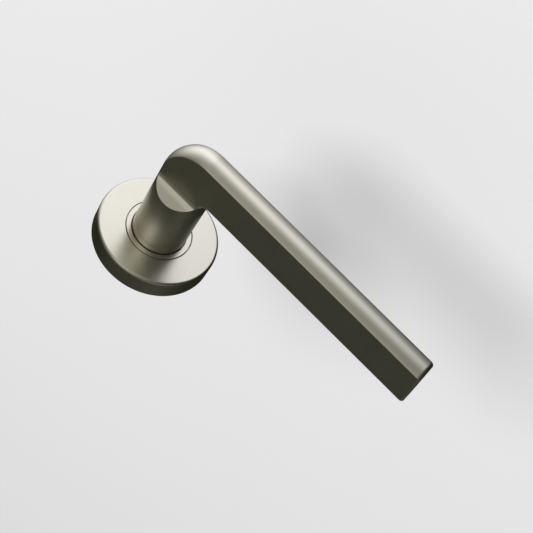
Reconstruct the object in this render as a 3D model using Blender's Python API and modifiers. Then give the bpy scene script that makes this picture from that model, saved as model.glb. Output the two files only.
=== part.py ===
"""Sprung door lever handle on a round rose.

The model stands as it hangs on a door: the origin is on the spindle's axis at the face of
the door, +Z is up, +Y goes into the door, and the grip points along -X.

Every sub-part is drawn in the rose's own axes, X across, Y up and Z (called depth below)
out of the door, under an empty that turns those axes to the world's.
"""

import math

import bmesh
import bpy
from mathutils import Matrix, Vector

MM = 0.001
MERGE = 0.00001

# Driving dimensions, in metres.
ROSE_RADIUS = 26.0 * MM
ROSE_DEPTH = 9.2 * MM
COVER_WALL = 1.1 * MM
COVER_ROUND = 1.2 * MM
COVER_HOLE = 14.3 * MM

NECK_RADIUS = 11.6 * MM
NECK_FOOT = 5.85 * MM
NECK_TOP = 44.5 * MM
BAR_THICKNESS = 10.8 * MM
GRIP_INNER = 47.0 * MM
GRIP_OUTER = 63.25 * MM
GRIP_CROWN = 9.76 * MM
BEND_OUTER = 16.0 * MM
BEND_INNER = 4.5 * MM
TIP_OUTER = 115.2 * MM
TIP_INNER = 116.7 * MM
TIP_ROUND = 1.5 * MM
TIP_BACK = 2.4 * MM
EDGE_BREAK = 0.35 * MM
SHOULDER_LOW = 38.9 * MM
SHOULDER_SLOPE = math.atan(0.6)

SPINDLE_SIDE = 8.0 * MM
SPINDLE_REACH = 24.0 * MM
SPINDLE_TOP = 28.0 * MM
GRUB_DEPTH = 19.0 * MM

TAIL_RADIUS = 7.6 * MM
TAIL_END = -0.8 * MM
DRIVE_HEX = 9.4 * MM

PLATE_RADIUS = 22.95 * MM
PLATE_FLOOR = 2.3 * MM
BOLT_SPACING = 38.0 * MM
LUG_RADIUS = 3.9 * MM
LUG_LENGTH = 6.5 * MM
POST_RADIUS = 1.9 * MM
POST_CIRCLE = 20.8 * MM
LID_LOW = 6.95 * MM
LID_HIGH = 7.75 * MM

SPRING_CIRCLE = 16.6 * MM
SPRING_DEPTH = 4.5 * MM
SPRING_COIL = 1.6 * MM
SPRING_WIRE = 0.3 * MM
SPRING_START = 99.8
SPRING_END = 155.8
SPRING_TURNS = 7.5
SPRING_CLOSED_TURNS = 1.0
POINTS_PER_TURN = 10

GAP = 0.3 * MM
FINE_GAP = 0.15 * MM

FINE_STEPS = 72
SMALL_STEPS = 40
SCREW_STEPS = 24

CLIP_LOW = 0.4 * MM
CLIP_HIGH = 1.05 * MM


def clear_scene() -> None:
    """Remove every object that the file opened with."""
    for item in list(bpy.data.objects):
        bpy.data.objects.remove(item, do_unlink=True)


def make_collection(name: str) -> bpy.types.Collection:
    """Add a collection to the scene."""
    collection = bpy.data.collections.new(name)
    bpy.context.scene.collection.children.link(collection)
    return collection


def make_material(name: str, colour: tuple, roughness: float, metallic: float) -> bpy.types.Material:
    """Make a Principled material."""
    material = bpy.data.materials.new(name)
    material.use_nodes = True
    shader = material.node_tree.nodes["Principled BSDF"]
    shader.inputs["Base Color"].default_value = (*colour, 1.0)
    shader.inputs["Roughness"].default_value = roughness
    shader.inputs["Metallic"].default_value = metallic
    return material


clear_scene()
PARTS = make_collection("door_lever_handle")
CUTTERS = make_collection("cutters")

SATIN = make_material("satin_nickel", (0.56, 0.53, 0.47), 0.34, 1.0)
CAST = make_material("zinc_casting", (0.45, 0.45, 0.46), 0.55, 1.0)
STEEL = make_material("zinc_plated_steel", (0.62, 0.63, 0.66), 0.35, 1.0)
BLACK_STEEL = make_material("black_steel", (0.06, 0.06, 0.065), 0.45, 0.8)
SPRING_STEEL = make_material("spring_steel", (0.42, 0.42, 0.43), 0.3, 1.0)
NYLON = make_material("nylon", (0.86, 0.85, 0.80), 0.5, 0.0)
ACETAL = make_material("acetal", (0.05, 0.05, 0.055), 0.45, 0.0)


def make_axes(name: str) -> bpy.types.Object:
    """Make an empty whose Z axis points out of the door along the spindle."""
    axes = bpy.data.objects.new(name, None)
    axes.rotation_euler = (math.pi / 2.0, 0.0, 0.0)
    PARTS.objects.link(axes)
    return axes


ROSE_AXES = make_axes("rose_axes")
LEVER_AXES = make_axes("lever_axes")


def place(mesh: bpy.types.Mesh, name: str, axes: bpy.types.Object, material: bpy.types.Material):
    """Put a mesh in the model as a named sub-part."""
    item = bpy.data.objects.new(name, mesh)
    item.parent = axes
    PARTS.objects.link(item)
    mesh.materials.append(material)
    return item


def make_tool(item: bpy.types.Object) -> bpy.types.Object:
    """Turn an object into a hidden cutter."""
    for collection in list(item.users_collection):
        collection.objects.unlink(item)
    CUTTERS.objects.link(item)
    item.hide_render = True
    item.display_type = "WIRE"
    return item


def combine(item: bpy.types.Object, tool: bpy.types.Object, operation: str) -> None:
    """Cut a tool from an object, or join it on, with an exact Boolean."""
    make_tool(tool)
    boolean = item.modifiers.new(operation.title(), "BOOLEAN")
    boolean.operation = operation
    boolean.solver = "EXACT"
    boolean.object = tool


def turned(name: str, profile: list, axes, material, steps: int = FINE_STEPS, ring: bool = False):
    """Spin a profile of (radius, depth) points round the spindle's axis.

    A ring's profile closes on itself. Any other profile starts and ends on the axis.
    """
    mesh = bpy.data.meshes.new(name)
    points = [(radius, 0.0, depth) for radius, depth in profile]
    edges = [(index, index + 1) for index in range(len(points) - 1)]
    if ring:
        edges.append((len(points) - 1, 0))
    mesh.from_pydata(points, edges, [])
    item = place(mesh, name, axes, material)
    spin = item.modifiers.new("Spin", "SCREW")
    spin.axis = "Z"
    spin.steps = steps
    spin.render_steps = steps
    spin.use_merge_vertices = True
    spin.merge_threshold = MERGE
    spin.use_smooth_shade = True
    return item


def washer_profile(inner: float, outer: float, low: float, high: float) -> list:
    """List the four corners of a plain ring's section."""
    return [(inner, high), (outer, high), (outer, low), (inner, low)]


def quarter_round(centre: tuple, radius: float, first_degrees: float, steps: int = 4) -> list:
    """List points on a quarter circle of a profile, turning clockwise."""
    points = []
    for index in range(steps + 1):
        angle = math.radians(first_degrees - 90.0 * index / steps)
        points.append((centre[0] + radius * math.cos(angle), centre[1] + radius * math.sin(angle)))
    return points


def block(name: str, low: tuple, high: tuple, axes, material):
    """Make a box between two corners."""
    mesh = bpy.data.meshes.new(name)
    form = bmesh.new()
    bmesh.ops.create_cube(form, size=1.0)
    size = [high[axis] - low[axis] for axis in range(3)]
    middle = [(high[axis] + low[axis]) / 2.0 for axis in range(3)]
    bmesh.ops.scale(form, vec=size, verts=form.verts)
    bmesh.ops.translate(form, vec=middle, verts=form.verts)
    form.to_mesh(mesh)
    form.free()
    return place(mesh, name, axes, material)


def prism(name: str, radius: float, low: float, high: float, sides: int, axes, material, centre=(0.0, 0.0)):
    """Make an upright prism or cylinder between two depths."""
    mesh = bpy.data.meshes.new(name)
    form = bmesh.new()
    bmesh.ops.create_cone(
        form, cap_ends=True, segments=sides, radius1=radius, radius2=radius, depth=high - low
    )
    bmesh.ops.translate(form, vec=(centre[0], centre[1], (low + high) / 2.0), verts=form.verts)
    form.to_mesh(mesh)
    form.free()
    return place(mesh, name, axes, material)


def polar(radius: float, degrees: float) -> tuple:
    """Give the rose's X and Y for a radius and an angle."""
    angle = math.radians(degrees)
    return (radius * math.cos(angle), radius * math.sin(angle))


def soften(item: bpy.types.Object, width: float, segments: int = 1) -> None:
    """Round an object's sharp edges."""
    bevel = item.modifiers.new("Edges", "BEVEL")
    bevel.width = width
    bevel.segments = segments
    bevel.limit_method = "ANGLE"
    bevel.angle_limit = math.radians(40.0)
    bevel.use_clamp_overlap = True


# ---------------------------------------------------------------- fixed sub-parts


def make_cover() -> None:
    """Make the pressed cover, a round cap with a hole for the neck's ring."""
    rim_centre = (ROSE_RADIUS - COVER_ROUND, ROSE_DEPTH - COVER_ROUND)
    inside = ROSE_RADIUS - COVER_WALL
    ceiling = ROSE_DEPTH - COVER_WALL
    corner = 0.4 * MM
    profile = [(COVER_HOLE, ROSE_DEPTH)]
    profile += quarter_round(rim_centre, COVER_ROUND, 90.0)
    profile += [(ROSE_RADIUS, corner), (ROSE_RADIUS - corner / 2.0, 0.0), (inside, 0.0)]
    profile += [(inside, ceiling - corner), (inside - corner, ceiling), (COVER_HOLE, ceiling)]
    turned("rose_cover", profile, ROSE_AXES, SATIN, ring=True)


def make_snap_ring() -> None:
    """Make the nylon ring that the cover snaps over, split by notches so that it can flex."""
    inner = PLATE_RADIUS + GAP
    outer = ROSE_RADIUS - COVER_WALL - GAP
    low = 0.4 * MM
    high = 4.6 * MM
    notch_floor = 2.6 * MM
    notch_width = 2.2 * MM
    notches = 6
    ring = turned("cover_snap_ring", washer_profile(inner, outer, low, high), ROSE_AXES, NYLON, ring=True)
    for index in range(notches):
        notch = block(
            "snap_ring_notch",
            (inner - GAP, -notch_width / 2.0, notch_floor),
            (outer + GAP, notch_width / 2.0, high + GAP),
            ROSE_AXES,
            NYLON,
        )
        notch.rotation_euler.z = math.radians(30.0 + 360.0 * index / notches)
        combine(ring, notch, "DIFFERENCE")


def post_angles() -> list:
    """List the angles of the four posts that carry the lid."""
    return [45.0 + 90.0 * index for index in range(4)]


def make_base_plate() -> None:
    """Make the cast plate that screws to the door, with its lugs, posts and spring stops."""
    bush_hole = 9.15 * MM
    boss_radius = 13.2 * MM
    boss_top = 3.4 * MM
    recess_radius = 11.2 * MM
    recess_top = 2.1 * MM
    profile = [
        (bush_hole, boss_top),
        (boss_radius, boss_top),
        (boss_radius, PLATE_FLOOR),
        (PLATE_RADIUS, PLATE_FLOOR),
        (PLATE_RADIUS, 0.0),
        (recess_radius, 0.0),
        (recess_radius, recess_top),
        (bush_hole, recess_top),
    ]
    plate = turned("base_plate", profile, ROSE_AXES, CAST, ring=True)
    root = PLATE_FLOOR - 0.8 * MM

    for degrees in post_angles():
        centre = polar(POST_CIRCLE, degrees)
        post = prism("post", POST_RADIUS, root, LID_LOW - FINE_GAP, 24, ROSE_AXES, CAST, centre)
        combine(plate, post, "UNION")
        pilot = prism("pilot", 1.35 * MM, 2.8 * MM, LID_HIGH, 16, ROSE_AXES, CAST, centre)
        combine(plate, pilot, "DIFFERENCE")

    stop_half = 0.65 * MM
    stop_near = 15.3 * MM
    stop_far = 18.3 * MM
    stop_top = 6.5 * MM
    for degrees in (77.0, 160.5, 257.0, 340.5):
        stop = block(
            "stop",
            (stop_near, -stop_half, root),
            (stop_far, stop_half, stop_top),
            ROSE_AXES,
            CAST,
        )
        stop.rotation_euler.z = math.radians(degrees)
        combine(plate, stop, "UNION")

    for side in (-1.0, 1.0):
        centre = (side * BOLT_SPACING / 2.0, 0.0)
        lug = prism("lug", LUG_RADIUS, -LUG_LENGTH, 0.8 * MM, 32, ROSE_AXES, CAST, centre)
        combine(plate, lug, "UNION")
        hole = prism("lug_hole", 3.05 * MM, -LUG_LENGTH - GAP, 3.0 * MM, 32, ROSE_AXES, CAST, centre)
        combine(plate, hole, "DIFFERENCE")


def make_threaded_sleeves() -> None:
    """Make the two hexagon-headed sleeves that take the bolts from the far side of the door."""
    head_top = 4.6 * MM
    for name, side in (("threaded_sleeve_left", -1.0), ("threaded_sleeve_right", 1.0)):
        centre = (side * BOLT_SPACING / 2.0, 0.0)
        sleeve = prism(name, 3.8 * MM, PLATE_FLOOR + FINE_GAP, head_top, 6, ROSE_AXES, STEEL, centre)
        shank = prism("shank", 2.9 * MM, -LUG_LENGTH + GAP, 3.5 * MM, 32, ROSE_AXES, STEEL, centre)
        combine(sleeve, shank, "UNION")
        bore = prism("bore", 1.65 * MM, -LUG_LENGTH, head_top + GAP, 24, ROSE_AXES, STEEL, centre)
        combine(sleeve, bore, "DIFFERENCE")


def make_bearing_bush() -> None:
    """Make the nylon bush that the lever's tail turns in."""
    section = washer_profile(TAIL_RADIUS + FINE_GAP, 9.0 * MM, 2.15 * MM, 3.4 * MM)
    turned("bearing_bush", section, ROSE_AXES, NYLON, SMALL_STEPS, ring=True)


def make_lid() -> None:
    """Make the steel lid over the springs, countersunk for its screws."""
    section = washer_profile(COVER_HOLE, 22.6 * MM, LID_LOW, LID_HIGH)
    lid = turned("cassette_lid", section, ROSE_AXES, STEEL, ring=True)
    for degrees in post_angles():
        sink_mesh = bpy.data.meshes.new("countersink")
        form = bmesh.new()
        bmesh.ops.create_cone(
            form,
            cap_ends=True,
            segments=SCREW_STEPS,
            radius1=1.3 * MM,
            radius2=2.35 * MM,
            depth=LID_HIGH - LID_LOW + 0.2 * MM,
        )
        form.to_mesh(sink_mesh)
        form.free()
        sink = place(sink_mesh, "countersink", ROSE_AXES, STEEL)
        sink.location = (*polar(POST_CIRCLE, degrees), (LID_LOW + LID_HIGH) / 2.0)
        combine(lid, sink, "DIFFERENCE")
    for side in (-1.0, 1.0):
        centre = (side * BOLT_SPACING / 2.0, 0.0)
        access = prism("access", 2.6 * MM, LID_LOW - GAP, LID_HIGH + GAP, 24, ROSE_AXES, STEEL, centre)
        combine(lid, access, "DIFFERENCE")


def make_collar_ring() -> None:
    """Make the ring round the neck, flush with the cover and flanged under the lid."""
    inner = NECK_RADIUS + GAP
    outer = COVER_HOLE - GAP
    flange = 15.0 * MM
    flange_low = 5.95 * MM
    flange_high = 6.8 * MM
    edge = 0.15 * MM
    profile = [
        (inner + edge, ROSE_DEPTH),
        (outer - edge, ROSE_DEPTH),
        (outer, ROSE_DEPTH - edge),
        (outer, flange_high),
        (flange, flange_high),
        (flange, flange_low),
        (inner, flange_low),
        (inner, ROSE_DEPTH - edge),
    ]
    turned("collar_ring", profile, ROSE_AXES, SATIN, ring=True)


def make_lid_screws() -> None:
    """Make the four countersunk screws of the lid."""
    head = 2.1 * MM
    shank = 1.15 * MM
    end = 3.2 * MM
    profile = [
        (0.0, LID_HIGH),
        (head, LID_HIGH),
        (shank, LID_LOW + 0.05 * MM),
        (shank, end + 0.3 * MM),
        (shank - 0.3 * MM, end),
        (0.0, end),
    ]
    slot = 0.3 * MM
    reach = 1.2 * MM
    for number, degrees in enumerate(post_angles(), start=1):
        screw = turned(f"lid_screw_{number}", profile, ROSE_AXES, STEEL, SCREW_STEPS)
        screw.location = (*polar(POST_CIRCLE, degrees), 0.0)
        for quarter in range(2):
            recess = block(
                "recess",
                (-reach, -slot, LID_HIGH - 0.5 * MM),
                (reach, slot, LID_HIGH + GAP),
                ROSE_AXES,
                STEEL,
            )
            recess.location = screw.location
            recess.rotation_euler.z = math.radians(degrees + 90.0 * quarter)
            combine(screw, recess, "DIFFERENCE")


# ---------------------------------------------------------------- the lever


def crown(offset: float, radius: float) -> float:
    """Give how far a round face stands out past its flat sides, at a distance from its middle."""
    half = BAR_THICKNESS / 2.0
    return math.sqrt(radius**2 - offset**2) - math.sqrt(radius**2 - half**2)


def bar_section(outer: Vector, inner: Vector, outward: Vector, radius: float, inset: float) -> list:
    """List the points of one section of the bar: two flat sides and two crowned faces."""
    half = BAR_THICKNESS / 2.0
    side = half - inset
    rows = 5
    points = []
    for base, sign in ((outer, 1.0), (inner, -1.0)):
        direction = outward * sign
        points.append((base - direction * (EDGE_BREAK + inset), sign * side))
        for index in range(rows + 1):
            across = sign * (side - 0.25 * MM) * (1.0 - 2.0 * index / rows)
            points.append((base + direction * (crown(across, radius) - inset), across))
        points.append((base - direction * (EDGE_BREAK + inset), -sign * side))
    return [Vector((point.x, across, point.y)) for point, across in points]


def bar_stations() -> list:
    """List the bar's sections from inside the neck, round the bend and along the grip to the tip."""
    half = BAR_THICKNESS / 2.0
    flush = 0.06 * MM
    neck_crown = NECK_RADIUS - flush
    neck_edge = math.sqrt(neck_crown**2 - half**2)
    across = Vector((1.0, 0.0))
    outer_centre = Vector((neck_edge - BEND_OUTER, GRIP_OUTER - BEND_OUTER))
    inner_centre = Vector((-neck_edge - BEND_INNER, GRIP_INNER - BEND_INNER))
    bar_foot = 34.0 * MM
    stations = [(Vector((neck_edge, bar_foot)), Vector((-neck_edge, bar_foot)), across, neck_crown, 0.0)]

    bend_steps = 12
    for index in range(bend_steps + 1):
        share = index / bend_steps
        angle = share * math.pi / 2.0
        outward = Vector((math.cos(angle), math.sin(angle)))
        radius = neck_crown + (GRIP_CROWN - neck_crown) * share
        outer = outer_centre + BEND_OUTER * outward
        inner = inner_centre + BEND_INNER * outward
        stations.append((outer, inner, outward, radius, 0.0))

    out = Vector((0.0, 1.0))
    tip_steps = 4
    for index in range(tip_steps + 1):
        angle = index / tip_steps * math.radians(80.0)
        inset = TIP_ROUND * (1.0 - math.cos(angle))
        back = TIP_BACK * (1.0 - math.sin(angle))
        outer = Vector((-TIP_OUTER + back, GRIP_OUTER))
        inner = Vector((-TIP_INNER + back, GRIP_INNER))
        stations.append((outer, inner, out, GRIP_CROWN, inset))
    return stations


def make_bar() -> bpy.types.Object:
    """Loft the bar of the lever, from the neck to the tip."""
    form = bmesh.new()
    rings = []
    for station in bar_stations():
        rings.append([form.verts.new(point) for point in bar_section(*station)])
    count = len(rings[0])
    for near, far in zip(rings, rings[1:]):
        for index in range(count):
            after = (index + 1) % count
            form.faces.new((near[index], near[after], far[after], far[index]))
    form.faces.new(rings[0])
    form.faces.new(rings[-1])
    bmesh.ops.recalc_face_normals(form, faces=form.faces)
    mesh = bpy.data.meshes.new("bar")
    form.to_mesh(mesh)
    form.free()
    return place(mesh, "bar", LEVER_AXES, SATIN)


def make_lever() -> None:
    """Make the lever: a turned neck with its tail, joined to the bar and bored for the spindle."""
    groove_radius = 6.6 * MM
    groove_low = 0.25 * MM
    groove_high = 1.2 * MM
    foot_edge = 0.4 * MM
    profile = [
        (0.0, NECK_TOP),
        (NECK_RADIUS, NECK_TOP),
        (NECK_RADIUS, NECK_FOOT + foot_edge),
        (NECK_RADIUS - foot_edge, NECK_FOOT),
        (TAIL_RADIUS, NECK_FOOT),
        (TAIL_RADIUS, groove_high),
        (groove_radius, groove_high),
        (groove_radius, groove_low),
        (TAIL_RADIUS, groove_low),
        (TAIL_RADIUS, TAIL_END + foot_edge),
        (TAIL_RADIUS - foot_edge, TAIL_END),
        (0.0, TAIL_END),
    ]
    lever = turned("lever", profile, LEVER_AXES, SATIN)

    reach = 3.0 * NECK_RADIUS
    height = 20.0 * MM
    for side in (-1.0, 1.0):
        wedge = block("wedge", (-reach, 0.0, 0.0), (reach, 2.0 * reach, height), LEVER_AXES, SATIN)
        tilt = Matrix.Rotation(-side * SHOULDER_SLOPE, 4, "X")
        turn = Matrix.Scale(side, 4, Vector((0.0, 1.0, 0.0)))
        shift = Matrix.Translation((0.0, -reach * side, 0.0))
        place_low = Matrix.Translation((0.0, side * NECK_RADIUS, SHOULDER_LOW))
        wedge.data.transform(place_low @ tilt @ shift @ turn)
        if side < 0.0:
            wedge.data.flip_normals()
        combine(lever, wedge, "DIFFERENCE")

    combine(lever, make_bar(), "UNION")
    hexagon = prism("drive_hexagon", DRIVE_HEX, 4.15 * MM, 6.4 * MM, 6, LEVER_AXES, SATIN)
    combine(lever, hexagon, "UNION")

    half = SPINDLE_SIDE / 2.0 + 0.2 * MM
    socket_end = SPINDLE_TOP + 1.0 * MM
    socket = block("socket", (-half, -half, -2.0 * MM), (half, half, socket_end), LEVER_AXES, SATIN)
    combine(lever, socket, "DIFFERENCE")

    grub_hole = prism("grub_hole", 3.1 * MM, 3.5 * MM, 13.0 * MM, 32, LEVER_AXES, SATIN)
    grub_hole.rotation_euler.x = math.pi / 2.0
    grub_hole.location.z = GRUB_DEPTH
    combine(lever, grub_hole, "DIFFERENCE")


# ---------------------------------------------------------------- what turns with the lever


def make_spindle() -> None:
    """Make the square spindle, from inside the neck into the lock."""
    half = SPINDLE_SIDE / 2.0
    spindle = block("spindle", (-half, -half, -SPINDLE_REACH), (half, half, SPINDLE_TOP), LEVER_AXES, STEEL)
    soften(spindle, 0.5 * MM, 2)


def make_grub_screw() -> None:
    """Make the grub screw under the neck that clamps the spindle."""
    seat = SPINDLE_SIDE / 2.0 + FINE_GAP
    end = 10.6 * MM
    radius = 2.9 * MM
    edge = 0.5 * MM
    profile = [
        (0.0, end),
        (radius - edge, end),
        (radius, end - edge),
        (radius, seat + edge),
        (radius - edge, seat),
        (0.0, seat),
    ]
    grub = turned("grub_screw", profile, LEVER_AXES, BLACK_STEEL, 32)
    key = prism("key", 1.75 * MM, end - 3.0 * MM, end + GAP, 6, LEVER_AXES, BLACK_STEEL)
    for item in (grub, key):
        item.rotation_euler.x = math.pi / 2.0
        item.location.z = GRUB_DEPTH
    combine(grub, key, "DIFFERENCE")


def make_rotor() -> None:
    """Make the steel rotor that carries the lever's turn to the two springs."""
    low = 4.2 * MM
    high = 5.65 * MM
    disc = 13.4 * MM
    arm_half = 1.8 * MM
    arm_reach = 18.2 * MM
    rotor = prism("rotor", disc, low, high, 64, LEVER_AXES, STEEL)
    arms = block("arms", (-arm_half, -arm_reach, low), (arm_half, arm_reach, high), LEVER_AXES, STEEL)
    combine(rotor, arms, "UNION")
    hole = prism("hole", DRIVE_HEX + 0.17 * MM, low - GAP, high + GAP, 6, LEVER_AXES, STEEL)
    combine(rotor, hole, "DIFFERENCE")


def make_circlip() -> None:
    """Make the circlip in the tail's groove, with an eye at each end of its gap."""
    clip = turned(
        "circlip",
        washer_profile(6.8 * MM, 9.1 * MM, CLIP_LOW, CLIP_HIGH),
        LEVER_AXES,
        SPRING_STEEL,
        SMALL_STEPS,
        ring=True,
    )
    opening = block(
        "opening",
        (-1.6 * MM, 0.0, CLIP_LOW - GAP),
        (1.6 * MM, 12.0 * MM, CLIP_HIGH + GAP),
        LEVER_AXES,
        SPRING_STEEL,
    )
    combine(clip, opening, "DIFFERENCE")
    for side in (-1.0, 1.0):
        centre = polar(9.2 * MM, 90.0 + side * 19.0)
        eye = prism("eye", 1.35 * MM, CLIP_LOW, CLIP_HIGH, 20, LEVER_AXES, SPRING_STEEL, centre)
        combine(clip, eye, "UNION")
        hole = prism("eye_hole", 0.6 * MM, 0.0, 2.0 * MM, 12, LEVER_AXES, SPRING_STEEL, centre)
        combine(clip, hole, "DIFFERENCE")


def make_wave_washer() -> None:
    """Make the thin waved washer that takes up the lever's end play."""
    inner = 7.85 * MM
    outer = 10.7 * MM
    middle = 1.58 * MM
    height = 0.2 * MM
    waves = 3
    steps = 60
    form = bmesh.new()
    edge = bmesh.ops.create_circle(form, segments=steps, radius=inner)["verts"]
    grown = bmesh.ops.extrude_edge_only(form, edges=form.edges[:])["geom"]
    outside = [vert for vert in grown if isinstance(vert, bmesh.types.BMVert)]
    bmesh.ops.scale(form, vec=(outer / inner, outer / inner, 1.0), verts=outside)
    for vert in edge + outside:
        angle = math.atan2(vert.co.y, vert.co.x)
        vert.co.z = middle + height * math.cos(waves * angle)
    bmesh.ops.recalc_face_normals(form, faces=form.faces)
    mesh = bpy.data.meshes.new("wave_washer")
    form.to_mesh(mesh)
    form.free()
    washer = place(mesh, "wave_washer", LEVER_AXES, SPRING_STEEL)
    skin = washer.modifiers.new("Sheet", "SOLIDIFY")
    skin.thickness = 0.25 * MM
    skin.offset = 0.0


def make_thrust_washer() -> None:
    """Make the acetal washer that the rotor slides on."""
    section = washer_profile(7.9 * MM, 12.6 * MM, 3.55 * MM, 4.0 * MM)
    turned("thrust_washer", section, LEVER_AXES, ACETAL, SMALL_STEPS, ring=True)


# ---------------------------------------------------------------- springs


def coil_share(turn: float) -> float:
    """Give how far along its arc the spring has come after some turns; its end turns lie closed."""
    closed_pitch = 0.62 * MM
    arc = math.radians(SPRING_END - SPRING_START) * SPRING_CIRCLE
    open_turns = SPRING_TURNS - 2.0 * SPRING_CLOSED_TURNS
    open_pitch = (arc - 2.0 * SPRING_CLOSED_TURNS * closed_pitch) / open_turns
    first = min(turn, SPRING_CLOSED_TURNS)
    last = max(turn - (SPRING_TURNS - SPRING_CLOSED_TURNS), 0.0)
    middle = turn - first - last
    return ((first + last) * closed_pitch + middle * open_pitch) / arc


def make_spring(name: str, start_degrees: float) -> None:
    """Wind one compression spring along its arc in the base plate."""
    total = round(SPRING_TURNS * POINTS_PER_TURN)
    curve = bpy.data.curves.new(name, "CURVE")
    curve.dimensions = "3D"
    curve.bevel_depth = SPRING_WIRE
    curve.bevel_resolution = 2
    curve.use_fill_caps = True
    spline = curve.splines.new("POLY")
    spline.points.add(total)
    for index in range(total + 1):
        turn = index / POINTS_PER_TURN
        degrees = start_degrees + (SPRING_END - SPRING_START) * coil_share(turn)
        phase = 2.0 * math.pi * turn
        x, y = polar(SPRING_CIRCLE + SPRING_COIL * math.cos(phase), degrees)
        depth = SPRING_DEPTH + SPRING_COIL * math.sin(phase)
        spline.points[index].co = (x, y, depth, 1.0)
    curve.materials.append(SPRING_STEEL)
    spring = bpy.data.objects.new(name, curve)
    spring.parent = ROSE_AXES
    PARTS.objects.link(spring)


def main() -> None:
    """Build every sub-part."""
    make_cover()
    make_snap_ring()
    make_base_plate()
    make_threaded_sleeves()
    make_bearing_bush()
    make_lid()
    make_collar_ring()
    make_lid_screws()
    make_lever()
    make_spindle()
    make_grub_screw()
    make_rotor()
    make_circlip()
    make_wave_washer()
    make_thrust_washer()
    make_spring("return_spring_upper", SPRING_START)
    make_spring("return_spring_lower", SPRING_START + 180.0)
    bpy.context.view_layer.update()


main()
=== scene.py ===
"""Looks of a sprung door lever handle on a round rose.

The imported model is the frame. The lever, the rose's cover, the ring round the neck and the
springs are built again here with finer surfaces, and every piece gets its own finish.

Lengths are in metres. A piece of the handle is drawn in the rose's own axes, X across, Y up
and Z (called depth) out of the door, and then turned to stand on the door.
"""

from __future__ import annotations

import logging
import math
from dataclasses import dataclass, replace
from enum import Enum
from typing import Any, Iterable, Sequence

import bmesh
import bpy
from mathutils import Matrix, Vector


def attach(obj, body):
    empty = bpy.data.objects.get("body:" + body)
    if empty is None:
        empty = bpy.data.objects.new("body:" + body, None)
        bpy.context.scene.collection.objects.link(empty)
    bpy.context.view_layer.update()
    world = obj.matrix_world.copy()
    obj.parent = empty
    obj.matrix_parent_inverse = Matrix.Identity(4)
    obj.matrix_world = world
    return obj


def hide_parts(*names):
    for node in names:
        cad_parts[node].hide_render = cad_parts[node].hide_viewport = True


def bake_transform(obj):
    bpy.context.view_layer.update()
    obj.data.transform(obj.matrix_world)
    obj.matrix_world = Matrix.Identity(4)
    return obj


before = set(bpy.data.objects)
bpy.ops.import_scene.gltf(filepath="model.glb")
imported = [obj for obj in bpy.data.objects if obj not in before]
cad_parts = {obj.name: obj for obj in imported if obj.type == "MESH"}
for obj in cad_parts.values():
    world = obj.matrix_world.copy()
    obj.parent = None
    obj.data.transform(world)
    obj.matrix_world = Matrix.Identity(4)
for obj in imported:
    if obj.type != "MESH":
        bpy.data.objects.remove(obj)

LOG = logging.getLogger("door_lever")
MM = 0.001
QUARTER = math.pi / 2.0
MERGE = 1e-7
TO_DOOR = Matrix.Rotation(QUARTER, 4, "X")
FACE_WEIGHT = 100
HEXAGON_SIDES = 6
MIX_FACTOR, MIX_FIRST, MIX_SECOND, MIX_RESULT = 0, 6, 7, 2
RANDOM_LOW, RANDOM_HIGH, RANDOM_RESULT = 2, 3, 1


# ------------------------------------------------------------------ node graphs


class Sock:
    """A node's output that can be used as a number in an expression."""

    def __init__(self, graph: Graph, socket: bpy.types.NodeSocket) -> None:
        """Wrap one of a node's outputs in its graph."""
        self.graph = graph
        self.socket = socket

    def __add__(self, other: Any) -> Sock:
        """Add."""
        return self.graph.math("ADD", self, other)

    def __radd__(self, other: Any) -> Sock:
        """Add, from the right."""
        return self.graph.math("ADD", other, self)

    def __sub__(self, other: Any) -> Sock:
        """Subtract."""
        return self.graph.math("SUBTRACT", self, other)

    def __mul__(self, other: Any) -> Sock:
        """Multiply."""
        return self.graph.math("MULTIPLY", self, other)

    def __rmul__(self, other: Any) -> Sock:
        """Multiply, from the right."""
        return self.graph.math("MULTIPLY", other, self)

    def __truediv__(self, other: Any) -> Sock:
        """Divide."""
        return self.graph.math("DIVIDE", self, other)


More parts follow.
